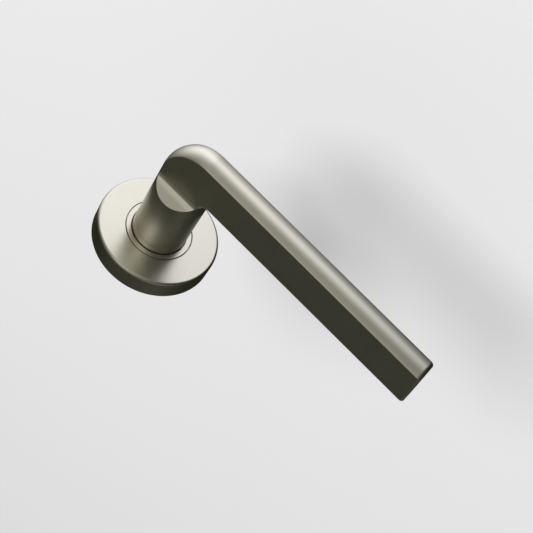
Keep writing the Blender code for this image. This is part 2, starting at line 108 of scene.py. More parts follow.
class Graph:
    """A shader or geometry node tree that is filled from Python."""

    def __init__(self, tree: bpy.types.NodeTree) -> None:
        """Take the node tree to fill."""
        self.tree = tree

    def add(
        self,
        kind: str,
        settings: dict[str, Any] | None = None,
        sockets: dict[str | int, Any] | None = None,
    ) -> bpy.types.Node:
        """Add a node.

        Args:
            kind: The node's type.
            settings: The node's own properties.
            sockets: Values, or sockets to link, by input name or number.

        Returns:
            The new node.
        """
        node = self.tree.nodes.new(kind)
        for name, value in (settings or {}).items():
            setattr(node, name, value)
        for name, value in (sockets or {}).items():
            target = node.inputs[name]
            if isinstance(value, Sock):
                self.tree.links.new(value.socket, target)
            else:
                target.default_value = value
        return node

    def out(self, node: bpy.types.Node, name: str | int = 0) -> Sock:
        """Give one of a node's outputs, by name or number."""
        return Sock(self, node.outputs[name])

    def value(
        self,
        kind: str,
        settings: dict[str, Any] | None = None,
        sockets: dict[str | int, Any] | None = None,
        name: str | int = 0,
    ) -> Sock:
        """Add a node and give one of its outputs."""
        return self.out(self.add(kind, settings, sockets), name)

    def math(self, operation: str, *values: Any) -> Sock:
        """Add a Math node on numbers or sockets and give its result."""
        return self.value("ShaderNodeMath", {"operation": operation}, dict(enumerate(values)))

    def vector(
        self, operation: str, sockets: dict[str | int, Any], name: str = "Vector"
    ) -> Sock:
        """Add a Vector Math node and give one of its outputs."""
        return self.value("ShaderNodeVectorMath", {"operation": operation}, sockets, name)

    def mix(self, factor: Any, first: Any, second: Any) -> Sock:
        """Mix two colours by a factor."""
        sockets = {MIX_FACTOR: factor, MIX_FIRST: first, MIX_SECOND: second}
        return self.value("ShaderNodeMix", {"data_type": "RGBA"}, sockets, MIX_RESULT)

    def noise(self, place: Sock, scale: float, detail: float, roughness: float = 0.5) -> Sock:
        """Add a noise pattern, about 0 to 1, with a number of marks in a metre."""
        sockets = {"Vector": place, "Scale": scale, "Detail": detail, "Roughness": roughness}
        return self.value("ShaderNodeTexNoise", {"noise_dimensions": "3D"}, sockets)

    def relief(self, height: Sock, shader: bpy.types.Node) -> None:
        """Raise a surface by a height in metres."""
        sockets = {"Strength": 1.0, "Distance": 1.0, "Height": height}
        self.link(self.value("ShaderNodeBump", sockets=sockets), shader, "Normal")

    def link(self, source: Sock, node: bpy.types.Node, name: str | int) -> None:
        """Link an output to a node's input."""
        self.tree.links.new(source.socket, node.inputs[name])


# ------------------------------------------------------------------ finishes


class Lay(Enum):
    """The way the fine lines of a finish run."""

    NONE = "none"
    ALONG = "along the grip"
    TURNED = "round the spindle"


def grey(level: float) -> tuple[float, float, float, float]:
    """Give a neutral colour."""
    return (level, level, level, 1.0)


def tinted(colour: Sequence[float], factor: float) -> tuple[float, float, float, float]:
    """Scale a colour and add its alpha."""
    return (colour[0] * factor, colour[1] * factor, colour[2] * factor, 1.0)


def start_material(name: str) -> tuple[bpy.types.Material, Graph, bpy.types.Node]:
    """Start a node material.

    Args:
        name: The material's name.

    Returns:
        The material, its graph and its shader.
    """
    material = bpy.data.materials.new(name)
    material.use_nodes = True
    return material, Graph(material.node_tree), material.node_tree.nodes["Principled BSDF"]


@dataclass(frozen=True)
class MetalFinish:
    """A metal surface with a fine grain, a slow drift of tone and a lay of fine lines."""

    name: str
    colour: tuple[float, float, float]
    roughness: float
    lay: Lay = Lay.NONE
    grain_size: float = 0.35 * MM
    grain_height: float = 0.009 * MM
    line_size: float = 0.12 * MM
    line_height: float = 0.003 * MM
    line_stretch: float = 0.03
    tone_size: float = 14.0 * MM
    tone_drift: float = 0.06
    tone_detail: float = 3.0
    gloss_drift: float = 0.05
    gloss_grains: float = 5.0
    gloss_detail: float = 4.0
    grain_detail: float = 1.0
    line_detail: float = 2.0
    layers: float = 0.6
    metallic: float = 1.0

    def material(self) -> bpy.types.Material:
        """Build the finish.

        Returns:
            The material.
        """
        material, graph, shader = start_material(self.name)
        place = graph.value("ShaderNodeTexCoord", name="Object")

        tone = self._noise(graph, place, self.tone_size, self.tone_detail)
        dark = tinted(self.colour, 1.0 - self.tone_drift)
        light = tinted(self.colour, 1.0 + self.tone_drift)
        graph.link(graph.mix(tone, dark, light), shader, "Base Color")

        size = self.grain_size * self.gloss_grains
        speck = self._noise(graph, place, size, self.gloss_detail)
        drift = self.gloss_drift
        gloss = self.roughness + drift * (speck - 0.5) + drift * (tone - 0.5)
        graph.link(gloss, shader, "Roughness")
        shader.inputs["Metallic"].default_value = self.metallic

        grain = self._noise(graph, place, self.grain_size, self.grain_detail)
        height = grain * self.grain_height
        if self.lay is not Lay.NONE:
            height = height + self._lines(graph, place) * self.line_height
        graph.relief(height, shader)
        return material

    def _noise(self, graph: Graph, place: Sock, size: float, detail: float) -> Sock:
        """Add a noise pattern with marks of a given size."""
        return graph.noise(place, 1.0 / size, detail, self.layers)

    def _lines(self, graph: Graph, place: Sock) -> Sock:
        """Add the fine lines of the finish.

        Args:
            graph: The material's graph.
            place: The surface's own coordinates.

        Returns:
            The pattern, about 0 to 1.
        """
        stretch = self.line_stretch
        if self.lay is Lay.ALONG:
            sockets = {"Vector": place, "Scale": (stretch, 1.0, 1.0)}
            drawn = graph.value("ShaderNodeMapping", {"vector_type": "POINT"}, sockets)
        else:
            parts = graph.add("ShaderNodeSeparateXYZ", sockets={"Vector": place})
            across, up = graph.out(parts, "X"), graph.out(parts, "Z")
            radius = graph.math("SQRT", across * across + up * up)
            sockets = {"X": radius, "Y": stretch * across, "Z": stretch * up}
            drawn = graph.value("ShaderNodeCombineXYZ", sockets=sockets)
        return self._noise(graph, drawn, self.line_size, self.line_detail)


@dataclass(frozen=True)
class PlasticFinish:
    """A moulded plastic with a faint texture."""

    name: str
    colour: tuple[float, float, float]
    roughness: float
    grain_size: float = 0.4 * MM
    grain_height: float = 0.01 * MM
    cloud_scale: float = 180.0
    tones: tuple[float, float] = (0.92, 1.04)
    gloss_drift: float = 0.1
    detail: float = 3.0

    def material(self) -> bpy.types.Material:
        """Build the finish.

        Returns:
            The material.
        """
        material, graph, shader = start_material(self.name)
        place = graph.value("ShaderNodeTexCoord", name="Object")
        cloud = graph.noise(place, self.cloud_scale, self.detail)
        dark, light = (tinted(self.colour, tone) for tone in self.tones)
        graph.link(graph.mix(cloud, dark, light), shader, "Base Color")
        grain = graph.noise(place, 1.0 / self.grain_size, self.detail)
        graph.link(self.roughness + self.gloss_drift * (grain - 0.5), shader, "Roughness")
        graph.relief(grain * self.grain_height, shader)
        return material


NICKEL = (0.74, 0.72, 0.635)


class Finishes:
    """Every finish of the handle, made once."""

    def __init__(self) -> None:
        """Make the materials."""
        zinc, steel = (0.42, 0.42, 0.43), (0.62, 0.63, 0.66)
        wire, black = (0.36, 0.36, 0.38), (0.05, 0.05, 0.055)
        self.grip = MetalFinish("satin_nickel_grip", NICKEL, 0.31, Lay.ALONG).material()
        self.turned = MetalFinish("satin_nickel_turned", NICKEL, 0.29, Lay.TURNED).material()
        self.casting = MetalFinish(
            "zinc_casting",
            zinc,
            0.5,
            grain_size=0.9 * MM,
            grain_height=0.03 * MM,
            tone_size=5.0 * MM,
            tone_drift=0.14,
            gloss_drift=0.12,
            metallic=0.55,
        ).material()
        self.plated = MetalFinish(
            "zinc_plated_steel",
            steel,
            0.32,
            Lay.ALONG,
            tone_size=6.0 * MM,
            tone_drift=0.08,
            metallic=0.8,
        ).material()
        self.black = MetalFinish("black_steel", black, 0.42, grain_size=0.25 * MM).material()
        self.spring = MetalFinish("spring_steel", wire, 0.3, grain_size=0.2 * MM).material()
        self.nylon = PlasticFinish("nylon", (0.78, 0.77, 0.71), 0.45).material()
        self.acetal = PlasticFinish("acetal", (0.03, 0.03, 0.033), 0.4).material()


# ------------------------------------------------------------------ mesh helpers


def new_object(mesh: bpy.types.Mesh, name: str) -> bpy.types.Object:
    """Put a mesh in the scene at the origin.

    Args:
        mesh: The mesh.
        name: The object's name.

    Returns:
        The object.
    """
    item = bpy.data.objects.new(name, mesh)
    bpy.context.scene.collection.objects.link(item)
    return item


def formed(form: bmesh.types.BMesh, name: str) -> bpy.types.Object:
    """Put a bmesh in the scene as a plain mesh, and free it.

    Args:
        form: The bmesh.
        name: The name of the mesh and of its object.

    Returns:
        The object.
    """
    mesh = bpy.data.meshes.new(name)
    form.to_mesh(mesh)
    form.free()
    return new_object(mesh, name)


def settle(item: bpy.types.Object) -> bpy.types.Object:
    """Turn an object's evaluated shape into its own plain mesh.

    Args:
        item: The object, with modifiers.

    Returns:
        The same object, without modifiers.
    """
    bpy.context.view_layer.update()
    evaluated = item.evaluated_get(bpy.context.evaluated_depsgraph_get())
    mesh = bpy.data.meshes.new_from_object(evaluated)
    item.modifiers.clear()
    item.data = mesh
    mesh.name = item.name
    return item


def combine(item: bpy.types.Object, tool: bpy.types.Object, operation: str) -> None:
    """Join a tool to an object or cut it out, and drop the tool.

    Args:
        item: The object.
        tool: The tool.
        operation: UNION or DIFFERENCE.
    """
    boolean = item.modifiers.new("Join", "BOOLEAN")
    boolean.operation = operation
    boolean.solver = "EXACT"
    boolean.object = tool
    settle(item)
    bpy.data.objects.remove(tool, do_unlink=True)


def finish_mesh(item: bpy.types.Object, material: bpy.types.Material, sharp: float = 30.0) -> None:
    """Weld, face outwards and shade a closed piece.

    Args:
        item: The piece.
        material: Its finish.
        sharp: Edges above this angle, in degrees, stay sharp.
    """
    form = bmesh.new()
    form.from_mesh(item.data)
    bmesh.ops.remove_doubles(form, verts=form.verts, dist=MERGE)
    bmesh.ops.dissolve_degenerate(form, edges=form.edges, dist=MERGE)
    bmesh.ops.recalc_face_normals(form, faces=form.faces)
    form.to_mesh(item.data)
    form.free()
    item.data.shade_smooth()
    item.data.set_sharp_from_angle(angle=math.radians(sharp))
    weighted = item.modifiers.new("Flat faces stay flat", "WEIGHTED_NORMAL")
    weighted.keep_sharp = True
    weighted.weight = FACE_WEIGHT
    settle(item)
    item.data.materials.clear()
    item.data.materials.append(material)


def report(piece: bpy.types.Object) -> None:
    """Log a finished piece."""
    LOG.info("%s has %d faces", piece.name, len(piece.data.polygons))


def stand_on_door(item: bpy.types.Object) -> None:
    """Turn a piece from the rose's axes to the door's."""
    item.data.transform(TO_DOOR)


def box(name: str, low: Sequence[float], high: Sequence[float]) -> bpy.types.Object:
    """Make a box between two corners.

    Args:
        name: The object's name.
        low: The lowest corner.
        high: The highest corner.

    Returns:
        The box.
    """
    form = bmesh.new()
    bmesh.ops.create_cube(form, size=1.0)
    size = [above - below for below, above in zip(low, high)]
    middle = [(above + below) / 2.0 for below, above in zip(low, high)]
    bmesh.ops.scale(form, vec=size, verts=form.verts)
    bmesh.ops.translate(form, vec=middle, verts=form.verts)
    return formed(form, name)


def rod(name: str, radius: float, start: Vector, end: Vector, sides: int) -> bpy.types.Object:
    """Make a straight rod between two points.

    Args:
        name: The object's name.
        radius: The rod's radius, to its corners.
        start: One end.
        end: The other end.
        sides: The number of sides.

    Returns:
        The rod.
    """
    form = bmesh.new()
    length = (end - start).length
    bmesh.ops.create_cone(
        form, cap_ends=True, segments=sides, radius1=radius, radius2=radius, depth=length
    )
    turn = (end - start).to_track_quat("Z", "Y").to_matrix().to_4x4()
    place = Matrix.Translation((start + end) / 2.0) @ turn
    bmesh.ops.transform(form, matrix=place, verts=form.verts)
    return formed(form, name)


def rounded(
    points: Sequence[tuple[float, float, float]], steps: int
) -> list[tuple[float, float]]:
    """Round the corners of a polyline.

    Args:
        points: Triples of x, y and the corner's radius; a radius of 0 keeps the corner.
        steps: Facets of each round corner.

    Returns:
        The rounded polyline, open, with its first and last points kept.
    """
    result = [(points[0][0], points[0][1])]
    for before, corner, after in zip(points, points[1:], points[2:]):
        middle = Vector(corner[:2])
        radius = corner[2]
        arm_in = (Vector(before[:2]) - middle).normalized()
        arm_out = (Vector(after[:2]) - middle).normalized()
        if radius <= 0.0:
            result.append((middle.x, middle.y))
            continue
        half_turn = arm_in.angle(arm_out) / 2.0
        reach = radius / math.tan(half_turn)
        centre = middle + (arm_in + arm_out).normalized() * (radius / math.sin(half_turn))
        first = middle + arm_in * reach - centre
        last = middle + arm_out * reach - centre
        sweep = first.angle_signed(last)
        for index in range(steps + 1):
            spoke = first.copy()
            spoke.rotate(Matrix.Rotation(-sweep * index / steps, 2))
            result.append((centre.x + spoke.x, centre.y + spoke.y))
    result.append((points[-1][0], points[-1][1]))
    return result


# ------------------------------------------------------------------ geometry nodes


class NodeTree:
    """A Geometry Nodes tree with named inputs."""

    def __init__(self, name: str) -> None:
        """Start a tree.

        Args:
            name: The tree's name.
        """
        self.tree = bpy.data.node_groups.new(name, "GeometryNodeTree")
        self.graph = Graph(self.tree)
        for way in ("INPUT", "OUTPUT"):
            self.tree.interface.new_socket(
                name="Geometry", in_out=way, socket_type="NodeSocketGeometry"
            )
        self.identifiers: dict[str, str] = {}
        self.source: bpy.types.Node | None = None

    def take(self, name: str, kind: str, default: Any) -> None:
        """Declare a named input.

        Args:
            name: The input's name.
            kind: Its socket type, such as Float.
            default: Its default value.
        """
        socket = self.tree.interface.new_socket(
            name=name, in_out="INPUT", socket_type=f"NodeSocket{kind}"
        )
        socket.default_value = default
        self.identifiers[name] = socket.identifier

    def given(self, name: str) -> Sock:
        """Give a declared input as a socket."""
        if self.source is None:
            self.source = self.tree.nodes.new("NodeGroupInput")
        return self.graph.out(self.source, name)

    def close(self, geometry: Sock, material: bpy.types.Material) -> None:
        """End the tree with real geometry and its material.

        Args:
            geometry: What the tree has made.
            material: Its finish.
        """
        real = self.graph.value("GeometryNodeRealizeInstances", sockets={"Geometry": geometry})
        dressed = self.graph.value(
            "GeometryNodeSetMaterial", sockets={"Geometry": real, "Material": material}
        )
        sink = self.tree.nodes.new("NodeGroupOutput")
        self.graph.link(dressed, sink, "Geometry")

    def run(self, item: bpy.types.Object, values: dict[str, Any]) -> bpy.types.Object:
        """Run the tree on an object and keep the result as a plain mesh.

        Args:
            item: The object that the tree starts from.
            values: The inputs' values, by name.

        Returns:
            The object.
        """
        modifier = item.modifiers.new(self.tree.name, "NODES")
        modifier.node_group = self.tree
        for name, value in values.items():
            modifier[self.identifiers[name]] = value
        return settle(item)


class Lathe:
    """A Geometry Nodes tree that turns a profile round the spindle's axis."""

    def __init__(self, finish: bpy.types.Material) -> None:
        """Build the tree.

        Args:
            finish: The finish of what it turns.
        """
        self.made = NodeTree("turned_profile")
        self.made.take("Steps", "Int", 96)
        self.made.take("Points", "Int", 4)
        self.made.take("Weld", "Float", MERGE)
        graph = self.made.graph
        steps, points = self.made.given("Steps"), self.made.given("Points")
        grid = graph.value(
            "GeometryNodeMeshGrid",
            sockets={
                "Size X": 1.0,
                "Size Y": 1.0,
                "Vertices X": steps + 1.0,
                "Vertices Y": points + 1.0,
            },
        )
        index = graph.value("GeometryNodeInputIndex")
        row = graph.math("FLOOR", (index + 0.5) / (points + 1.0))
        column = graph.math("MODULO", index - row * (points + 1.0), points)
        sample = graph.value(
            "GeometryNodeSampleIndex",
            {"data_type": "FLOAT_VECTOR", "domain": "POINT"},
            {
                "Geometry": self.made.given("Geometry"),
                "Value": graph.value("GeometryNodeInputPosition"),
                "Index": column,
            },
        )
        parts = graph.add("ShaderNodeSeparateXYZ", sockets={"Vector": sample})
        radius, depth = graph.out(parts, "X"), graph.out(parts, "Z")
        angle = row * (2.0 * math.pi) / steps
        spot = graph.value(
            "ShaderNodeCombineXYZ",
            sockets={
                "X": radius * graph.math("COSINE", angle),
                "Y": radius * graph.math("SINE", angle),
                "Z": depth,
            },
        )
        sockets = {"Geometry": grid, "Position": spot}
        turned = graph.value("GeometryNodeSetPosition", sockets=sockets)
        sockets = {"Geometry": turned, "Distance": self.made.given("Weld")}
        welded = graph.value("GeometryNodeMergeByDistance", sockets=sockets)
        self.made.close(welded, finish)

    def turn(
        self, name: str, profile: Sequence[tuple[float, float]], steps: int
    ) -> bpy.types.Object:
        """Turn a closed profile of (radius, depth) points.

        Args:
            name: The piece's name.
            profile: The profile, which closes on itself.
            steps: Facets round the axis.

        Returns:
            The piece, as a plain mesh in the rose's axes.
        """
        mesh = bpy.data.meshes.new(name)
        mesh.from_pydata([(radius, 0.0, depth) for radius, depth in profile], [], [])
        return self.made.run(new_object(mesh, name), {"Steps": steps, "Points": len(profile)})


# ------------------------------------------------------------------ the lever


@dataclass(frozen=True)
class Station:
    """One section of the lever: two crowned faces, outside and inside, and two flat sides."""

    outer_centre: Vector
    outer_way: Vector
    inner_centre: Vector
    inner_way: Vector
    crown: float
    half: float


@dataclass
class Lever:
    """The lever: a round neck, cut to a flat-sided bar that bends into the grip."""

    neck_radius: float = 11.6 * MM
    neck_foot: float = 5.85 * MM
    thickness: float = 10.8 * MM
    grip_inner: float = 47.0 * MM
    grip_outer: float = 63.19 * MM
    grip_crown: float = 9.76 * MM
    bend_outer: float = 16.0 * MM
    bend_inner: float = 4.5 * MM
    shoulder_low: float = 38.9 * MM
    shoulder_lean: tuple[float, float] = (math.radians(29.0), math.radians(39.0))
    shoulder_hollow: tuple[float, float] = (8.5 * MM, 6.44 * MM)
    shoulder_steps: int = 44
    bend_start: float = 44.6 * MM
    edge_round: float = 0.4 * MM
    edge_least: float = 0.05 * MM
    edge_growth: float = 0.25
    tip_outer: float = 115.1 * MM
    tip_inner: float = 116.6 * MM
    tip_round: float = 1.2 * MM
    tip_back: float = 1.7 * MM
    tail_radius: float = 7.6 * MM
    tail_end: float = -0.8 * MM
    tail_edge: float = 0.4 * MM
    tail_overlap: float = 1.0 * MM
    groove_radius: float = 6.6 * MM
    groove: tuple[float, float] = (0.25 * MM, 1.2 * MM)
    socket_half: float = 4.2 * MM
    socket_reach: tuple[float, float] = (-2.0 * MM, 29.0 * MM)
    hexagon: float = 9.4 * MM
    hexagon_reach: tuple[float, float] = (4.15 * MM, 6.4 * MM)
    grub_depth: float = 19.0 * MM
    grub_hole: float = 3.1 * MM
    grub_reach: tuple[float, float] = (-3.5 * MM, -13.0 * MM)
    crown_coarse: int = 12
    crown_fine: int = 8
    crown_reach: float = math.radians(27.0)
    corner_points: int = 5
    flat_points: int = 8
    neck_steps: tuple[int, int] = (10, 3)
    bend_steps: int = 36
    grip_steps: int = 16
    tip_steps: int = 10
    round_sides: int = 96
    hole_sides: int = 64
    weld: float = 0.002 * MM
    sharp: float = 42.0

    @property
    def half(self) -> float:
        """Half the bar's thickness."""
        return self.thickness / 2.0

    @property
    def neck_edge(self) -> float:
        """Half the width of the flat sides on the neck."""
        return math.sqrt(self.neck_radius**2 - self.half**2)

    def outline(self, station: Station, inset: float = 0.0) -> list[Vector]:
        """Draw one section.

        Args:
            station: The section.
            inset: How far the outline is drawn in.

        Returns:
            Points round the section, in the rose's axes.
        """
        radius = station.crown - inset
        half = station.half - inset
        corner = min(self.edge_round, (radius - half) * self.edge_growth) - inset * 0.5
        corner = max(corner, self.edge_least)
        centre_out = math.sqrt(max((radius - corner) ** 2 - (half - corner) ** 2, 0.0))
        lean = math.atan2(half - corner, centre_out)
        face = []
        for index in range(self.corner_points):
            angle = QUARTER + (lean - QUARTER) * index / self.corner_points
            up = half - corner + corner * math.sin(angle)
            face.append((centre_out + corner * math.cos(angle), up))
        for spoke in self._crown_angles():
            angle = max(-lean, min(lean, spoke))
            face.append((radius * math.cos(angle), radius * math.sin(angle)))
        face += [(out, -up) for out, up in reversed(face[: self.corner_points])]

        outer = self._face_points(station.outer_centre, station.outer_way, face, 1.0)
        inner = self._face_points(station.inner_centre, station.inner_way, face, -1.0)
        near, far = self._between(outer[-1], inner[0]), self._between(inner[-1], outer[0])
        return outer + near + inner + far

    def _crown_angles(self) -> list[float]:
        """List the fixed angles of a crowned face's points, finer where the grip is.

        Returns:
            Angles from a quarter turn down to minus a quarter turn.
        """
        coarse, fine = self.crown_coarse, self.crown_fine
        beyond = QUARTER - self.crown_reach
        angles = [QUARTER - beyond * index / coarse for index in range(coarse)]
        angles += [self.crown_reach * (1.0 - index / fine) for index in range(fine + 1)]
        return angles + [-angle for angle in reversed(angles[:-1])]

    @staticmethod
    def _face_points(
        centre: Vector, way: Vector, face: Sequence[tuple[float, float]], side: float
    ) -> list[Vector]:
        """Place one crowned face.

        Args:
            centre: The crown's centre, across and depth.
            way: The face's direction, across and depth.
            face: Points of distance out and height.
            side: 1 for the outer face, -1 to run the heights the other way.

        Returns:
            The points, in the rose's axes.
        """
        points = []
        for out, up in face:
            spot = centre + way * out
            points.append(Vector((spot.x, side * up, spot.y)))
        return points

    def _between(self, first: Vector, last: Vector) -> list[Vector]:
        """List points on a flat side, closer together near its edges.

        Args:
            first: One edge of the flat side.
            last: Its other edge.

        Returns:
            The points between.
        """
        points = []
        for index in range(1, self.flat_points):
            share = (1.0 - math.cos(math.pi * index / self.flat_points)) / 2.0
            points.append(first.lerp(last, share))
        return points

    def stations(self) -> list[Station]:
        """List the sections from the foot of the neck to the start of the tip's rounding."""
        return self._neck_stations() + self._bend_stations()

    def _inner_station(self, angle: float) -> tuple[Vector, Vector]:
        """Give the crown's centre and direction on the inside of the bend.

        Args:
            angle: How far the inside has turned, in radians.

        Returns:
            The centre and the direction.
        """
        outward = Vector((math.cos(angle), math.sin(angle)))
        corner = Vector((-self.neck_edge - self.bend_inner, self.grip_inner - self.bend_inner))
        edge = corner + self.bend_inner * outward
        return edge, -outward

    def _shoulder(self) -> list[tuple[float, float]]:
        """Draw the shoulder: a slope, a shallow hollow, and a fillet into the flat sides.

        Returns:
            Pairs of depth and half thickness.
        """
        first, last = self.shoulder_lean
        hollow, fillet = self.shoulder_hollow
        turn = math.acos(fillet / self.neck_radius)
        points = [(self.shoulder_low, self.neck_radius)]
        for index in range(1, self.shoulder_steps + 1):
            depth, before = points[-1]
            half = self.neck_radius * math.cos(turn * index / self.shoulder_steps)
            share = min(max((hollow - half) / (hollow - fillet), 0.0), 1.0)
            slope = math.tan(first + (last - first) * share)
            points.append((depth + (before - half) * slope, half))
        radius = (fillet - self.half) / (1.0 - math.sin(last))
        start = points[-1][0] + radius * math.cos(last)
        steps = self.shoulder_steps // 3
        for index in range(1, steps + 1):
            lean = last + (QUARTER - last) * index / steps
            half = self.half + radius * (1.0 - math.sin(lean))
            points.append((start - radius * math.cos(lean), half))
        return points

    def _neck_stations(self) -> list[Station]:
        """List the sections of the round neck and of the slope down to the flat sides.

        Returns:
            The sections, each at one depth.
        """
        across = Vector((1.0, 0.0))
        foot_steps, flat_steps = self.neck_steps
        rise = self.shoulder_low - self.neck_foot
        line = [
            (self.neck_foot + rise * index / foot_steps, self.neck_radius)
            for index in range(foot_steps)
        ]
        line += self._shoulder()
        last = line[-1][0]
        line += [
            (last + (self.bend_start - last) * index / flat_steps, self.half)
            for index in range(1, flat_steps + 1)
        ]
        result = []
        inner_start = self.grip_inner - self.bend_inner
        for depth, half in line:
            centre = Vector((0.0, depth))
            inner, way = centre, -across
            if depth > inner_start:
                turn = math.asin(min((depth - inner_start) / self.bend_inner, 1.0))
                edge, way = self._inner_station(turn)
                inner = edge - way * self.neck_edge
            result.append(Station(centre, across, inner, way, self.neck_radius, half))
        return result

    def _bend_stations(self) -> list[Station]:
        """List the sections round the bend and along the grip.

        Returns:
            The sections.
        """
        start = self.bend_start
        inner_start = self.grip_inner - self.bend_inner
        angle_start = math.asin((start - inner_start) / self.bend_inner)
        straight = self.grip_outer - self.bend_outer - start
        arc = self.bend_outer * QUARTER
        corner = Vector((self.neck_edge - self.bend_outer, self.grip_outer - self.bend_outer))
        slant = (self.tip_inner - self.tip_outer) / (self.grip_outer - self.grip_inner)
        result = []
        for index in range(1, self.bend_steps + 1):
            share = index / self.bend_steps
            travel = share * (straight + arc)
            angle = max(travel - straight, 0.0) / self.bend_outer
            outward = Vector((math.cos(angle), math.sin(angle)))
            if travel < straight:
                edge = Vector((self.neck_edge, start + travel))
            else:
                edge = corner + self.bend_outer * outward
            crown = self.neck_radius + (self.grip_crown - self.neck_radius) * share
            seat = math.sqrt(crown**2 - self.half**2)
            inner_edge, way = self._inner_station(angle_start + (QUARTER - angle_start) * share)
            outer, inner = edge - outward * seat, inner_edge - way * seat
            result.append(Station(outer, outward, inner, way, crown, self.half))
        last = result[-1]
        seat = math.sqrt(self.grip_crown**2 - self.half**2)
        outer_end, inner_end = self._tip_edges(self.tip_back)
        for index in range(1, self.grip_steps + 1):
            share = index / self.grip_steps
            lean = Vector((slant * share, 1.0)).normalized()
            outer_edge = (last.outer_centre + last.outer_way * seat).lerp(outer_end, share)
            inner_edge = (last.inner_centre + last.inner_way * seat).lerp(inner_end, share)
            outer, inner = outer_edge - lean * seat, inner_edge + lean * seat
            result.append(Station(outer, lean, inner, -lean, self.grip_crown, self.half))
        return result

    def _tip_edges(self, back: float) -> tuple[Vector, Vector]:
        """Give the tip's two edges.

        Args:
            back: How far the section lies short of the tip.

        Returns:
            The outer and the inner edge, across and depth.
        """
        outer = Vector((-self.tip_outer + back, self.grip_outer))
        inner = Vector((-self.tip_inner + back, self.grip_inner))
        return outer, inner

    def _tip_rings(self, last: Station) -> list[list[Vector]]:
        """Draw the sections of the tip's rounding.

        Args:
            last: The section where the rounding starts.

        Returns:
            The points of each section.
        """
        rings = []
        for index in range(1, self.tip_steps + 1):
            angle = index / self.tip_steps * QUARTER
            shift = Vector((-self.tip_back * math.sin(angle), 0.0))
            station = replace(
                last,
                outer_centre=last.outer_centre + shift,
                inner_centre=last.inner_centre + shift,
            )
            rings.append(self.outline(station, self.tip_round * (1.0 - math.cos(angle))))
        return rings

    def body(self) -> bpy.types.Object:
        """Loft the lever from the foot of the neck to the tip.

        Returns:
            The closed body, in the rose's axes.
        """
        stations = self.stations()
        rings = [self.outline(station) for station in stations]
        rings += self._tip_rings(stations[-1])
        form = bmesh.new()
        rows = [[form.verts.new(point) for point in ring] for ring in rings]
        count = len(rows[0])
        for near, far in zip(rows, rows[1:]):
            for index in range(count):
                after = (index + 1) % count
                form.faces.new((near[index], near[after], far[after], far[index]))
        form.faces.new(rows[0])
        form.faces.new(rows[-1])
        bmesh.ops.remove_doubles(form, verts=form.verts, dist=self.weld)
        bmesh.ops.dissolve_degenerate(form, edges=form.edges, dist=MERGE)
        bmesh.ops.recalc_face_normals(form, faces=form.faces)
        return formed(form, "lever_form")

    def tail(self, finish: bpy.types.Material) -> bpy.types.Object:
        """Turn the tail that runs through the rose.

        Args:
            finish: The lever's finish.

        Returns:
            The tail, in the rose's axes.
        """
        top = self.neck_foot + self.tail_overlap
        low, high = self.groove
        profile = [
            (0.0, top),
            (self.tail_radius, top),
            (self.tail_radius, high),
            (self.groove_radius, high),
            (self.groove_radius, low),
            (self.tail_radius, low),
            (self.tail_radius, self.tail_end + self.tail_edge),
            (self.tail_radius - self.tail_edge, self.tail_end),
            (0.0, self.tail_end),
        ]
        return Lathe(finish).turn("tail", profile, self.round_sides)

    def build(self, finishes: Finishes) -> None:
        """Build the lever, bore it, and let it stand for its CAD node.

        Args:
            finishes: The handle's finishes.
        """
        lever = self.body()
        combine(lever, self.tail(finishes.grip), "UNION")
        start, end = (Vector((0.0, 0.0, depth)) for depth in self.hexagon_reach)
        combine(lever, rod("hexagon", self.hexagon, start, end, HEXAGON_SIDES), "UNION")
        half = self.socket_half
        low, high = self.socket_reach
        socket = box("socket", (-half, -half, low), (half, half, high))
        combine(lever, socket, "DIFFERENCE")
        start, end = (Vector((0.0, up, self.grub_depth)) for up in self.grub_reach)
        hole = rod("grub_hole", self.grub_hole, start, end, self.hole_sides)
        combine(lever, hole, "DIFFERENCE")
        stand_on_door(lever)
        lever.name = "lever_satin"
        finish_mesh(lever, finishes.grip, self.sharp)
        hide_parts("lever")
        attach(lever, "lever")
        report(lever)


# ------------------------------------------------------------------ the rose


